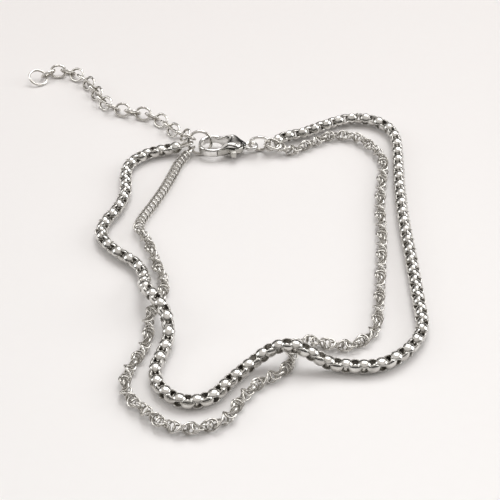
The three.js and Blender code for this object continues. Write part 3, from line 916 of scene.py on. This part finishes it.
def eye_ring():
    """The eye: a loop of flattened wire, its section an ellipse of the wall by the thickness."""
    turn = np.linspace(0.0, 2.0 * np.pi, WIRE_ROWS, endpoint=False)[:, None]
    round_wire = np.linspace(0.0, 2.0 * np.pi, WIRE_COLUMNS, endpoint=False)[None, :]
    out = EYE_RADIUS - EYE_WALL / 2 + EYE_WALL / 2 * np.cos(round_wire)
    x = EYE_X + out * np.cos(turn)
    z = EYE_THICKNESS / 2 * np.sin(round_wire) + 0.0 * turn
    return np.stack([x, out * np.sin(turn), z], axis=-1).reshape(-1, 3)


# %% [markdown]
# The slot and the seat of the lever's boss are cut first, and then the eye and the pin are joined,
# because the pin crosses the slot.

# %% The clasp's body
clasp_body = new_mesh("clasp_casting", in_clasp(casting()), wrapped_quads(CLASP_ROWS, CLASP_COLUMNS))
slot_tools = [
    rough_solid("slot", lever_slot(), LEVER_HEIGHT + 2 * SWING_GAP),
    rough_solid("seat", disc(PIVOT, SEAT_RADIUS), LEVER_HEIGHT + 2 * SWING_GAP),
]
carved(clasp_body, slot_tools, "DIFFERENCE")
joined_tools = [
    new_mesh("eye", in_clasp(eye_ring()), wire_quads),
    rough_solid("pin", disc(PIVOT, PIN_RADIUS), PIN_LENGTH),
]
carved(clasp_body, joined_tools, "UNION")
finished(clasp_body, clasp_silver, "clasp_body", "anklet")
print("faces of the casting:", len(clasp_body.data.polygons))

# %% [markdown]
# ## The lever
# The lever is stamped from flat sheet: a boss round the pin, an arm that shuts the hook and a tab
# for the thumb. Stamped edges are tumbled round, so the plain raised outline gets a bevel. It is
# the one piece that moves, and it rides on the frame's lever body, which turns about the pin.

# %% The lever
BOSS_RADIUS = 1.2
TAB_AT = 1.6
TAB_HALF = 0.65
TAB_LONG = 1.7
TAB_FOOT = 1.05
EDGE_ROUNDING = 0.16


def lever_outline():
    """Round boss, straight arm with a round end, and a round-ended thumb tab, as one outline that
    runs round the lever with its arm along +x."""
    half = ARM_WIDTH / 2
    leave = np.degrees(np.arcsin(half / BOSS_RADIUS))
    return np.vstack([
        arc([0, 0], BOSS_RADIUS, 90, 360 - leave, 24),
        arc([ARM_LENGTH - half, 0], half, -90, 90, 12),
        [[TAB_AT + TAB_HALF, half]],
        arc([TAB_AT, TAB_LONG], TAB_HALF, 0, 180, 12),
        [[TAB_AT - TAB_HALF, TAB_FOOT]],
    ])


lever_turn = np.radians(ARM_ANGLE)
cos_turn, sin_turn = np.cos(lever_turn), np.sin(lever_turn)
spin = np.array([[cos_turn, sin_turn], [-sin_turn, cos_turn]])
lever = rough_solid("clasp_lever_arm", lever_outline() @ spin + PIVOT, LEVER_HEIGHT)
bore = rough_solid("bore", disc(PIVOT, PIN_RADIUS + SWING_GAP), 2 * LEVER_HEIGHT)
carved(lever, [bore], "DIFFERENCE")
rounder = lever.modifiers.new("round", "BEVEL")
rounder.width = EDGE_ROUNDING * MM
rounder.segments = 3
finished(lever, clasp_silver, "clasp_lever", "lever")
print("lever's arm, mm:", ARM_LENGTH.round(2))

# %% [markdown]
# ## The table
# The table is pale, warm white and faintly glossy, with hardly any grain, and its colour is painted a
# little darker towards the back: painted shade, for the light that falls off there. It matters more
# than it seems, because the undersides of all the links mirror it. The painted shade is a ramp on the
# place along y, which grows with the distance from the camera.

# %% The table
FLOOR_HALF = 4.0
NEAR_TONE = (0.90, 0.89, 0.885, 1.0)
FAR_SHADED_TONE = (0.80, 0.775, 0.765, 1.0)
FAR_SHADE_STOPS = [(0.3, 0.0), (0.8, 1.0)]
SHADE_RAMP_PER_METRE = 2.5
SPECKLE_SCALE = 500.0
floor_mesh = bpy.data.meshes.new("table")
floor_corners = FLOOR_HALF * np.array([[-1, -1, 0], [1, -1, 0], [1, 1, 0], [-1, 1, 0]])
floor_mesh.from_pydata(floor_corners, [], [[0, 1, 2, 3]])
floor = bpy.data.objects.new("table", floor_mesh)
bpy.context.scene.collection.objects.link(floor)

table_finish = Finish("pale_table")
speckle = table_finish.noise(SPECKLE_SCALE, detail=4.0)
split_place = table_finish.node("ShaderNodeSeparateXYZ", {}, {"Vector": table_finish.place()})
along_y = Signal(table_finish, split_place.outputs["Y"])
# painted shade: the table's colour darkens towards the back
painted_far_shade = table_finish.ramp(0.5 + SHADE_RAMP_PER_METRE * along_y, FAR_SHADE_STOPS)
floor.data.materials.append(table_finish.shine(
    Base_Color=table_finish.mix(0.9 * painted_far_shade + 0.1 * speckle, NEAR_TONE, FAR_SHADED_TONE),
    Roughness=0.38 + 0.1 * speckle,
    Specular_IOR_Level=0.35,
    Normal=table_finish.bump(speckle, 0.05 * MM, 0.2),
))

# %% [markdown]
# ## Light
# Jewellery is lit by what it mirrors. A wide soft light overhead, a little behind, gives the tops of
# the links their white highlights and drops soft shadows towards the camera. Two weaker ones at the
# sides brighten the flanks. The rest of the room grows darker towards the horizon, and that is what
# draws the dark lines round every link.

# %% Light
def soft_light(name, size, power, place):
    """A square area light that faces the middle of the table."""
    made = bpy.data.objects.new(name, bpy.data.lights.new(name, "AREA"))
    made.data.size = size
    made.data.energy = power
    made.location = place
    made.rotation_euler = (-Vector(place)).to_track_quat("-Z", "Y").to_euler()
    bpy.context.scene.collection.objects.link(made)


soft_light("overhead", size=0.56, power=3.1, place=(0.12, 0.40, 0.70))
soft_light("right", size=0.45, power=2.2, place=(0.72, 0.12, 0.36))
soft_light("left", size=0.4, power=1.2, place=(-0.72, 0.1, 0.34))
print("lights:", len(bpy.data.lights))

# %% [markdown]
# The room is a ramp on the height of the direction looked in: dark below and near the horizon,
# light above, and faintly warm. It stands for walls and a ceiling without building them. The view
# transform is Standard, so that the tones come out as they are worked out.

# %% The room
world = bpy.data.worlds.new("room")
bpy.context.scene.world = world
world.use_nodes = True
room = world.node_tree
room.nodes.clear()
direction = room.nodes.new("ShaderNodeTexCoord")
split = room.nodes.new("ShaderNodeSeparateXYZ")
shade = room.nodes.new("ShaderNodeValToRGB")
sky = room.nodes.new("ShaderNodeBackground")
output = room.nodes.new("ShaderNodeOutputWorld")
ROOM_LEVELS = [(0.0, 0.03), (0.36, 0.04), (0.5, 0.35), (0.75, 0.7), (1.0, 0.75)]
ROOM_TINT = (1.0, 0.955, 0.92)
while len(shade.color_ramp.elements) < len(ROOM_LEVELS):
    shade.color_ramp.elements.new(1.0)
for element, (position, level) in zip(shade.color_ramp.elements, ROOM_LEVELS):
    element.position = position
    element.color = (*(level * tint for tint in ROOM_TINT), 1.0)
room.links.new(direction.outputs["Generated"], split.inputs[0])
room.links.new(split.outputs["Z"], shade.inputs["Fac"])
room.links.new(shade.outputs["Color"], sky.inputs["Color"])
room.links.new(sky.outputs[0], output.inputs["Surface"])
bpy.context.scene.view_settings.view_transform = "Standard"
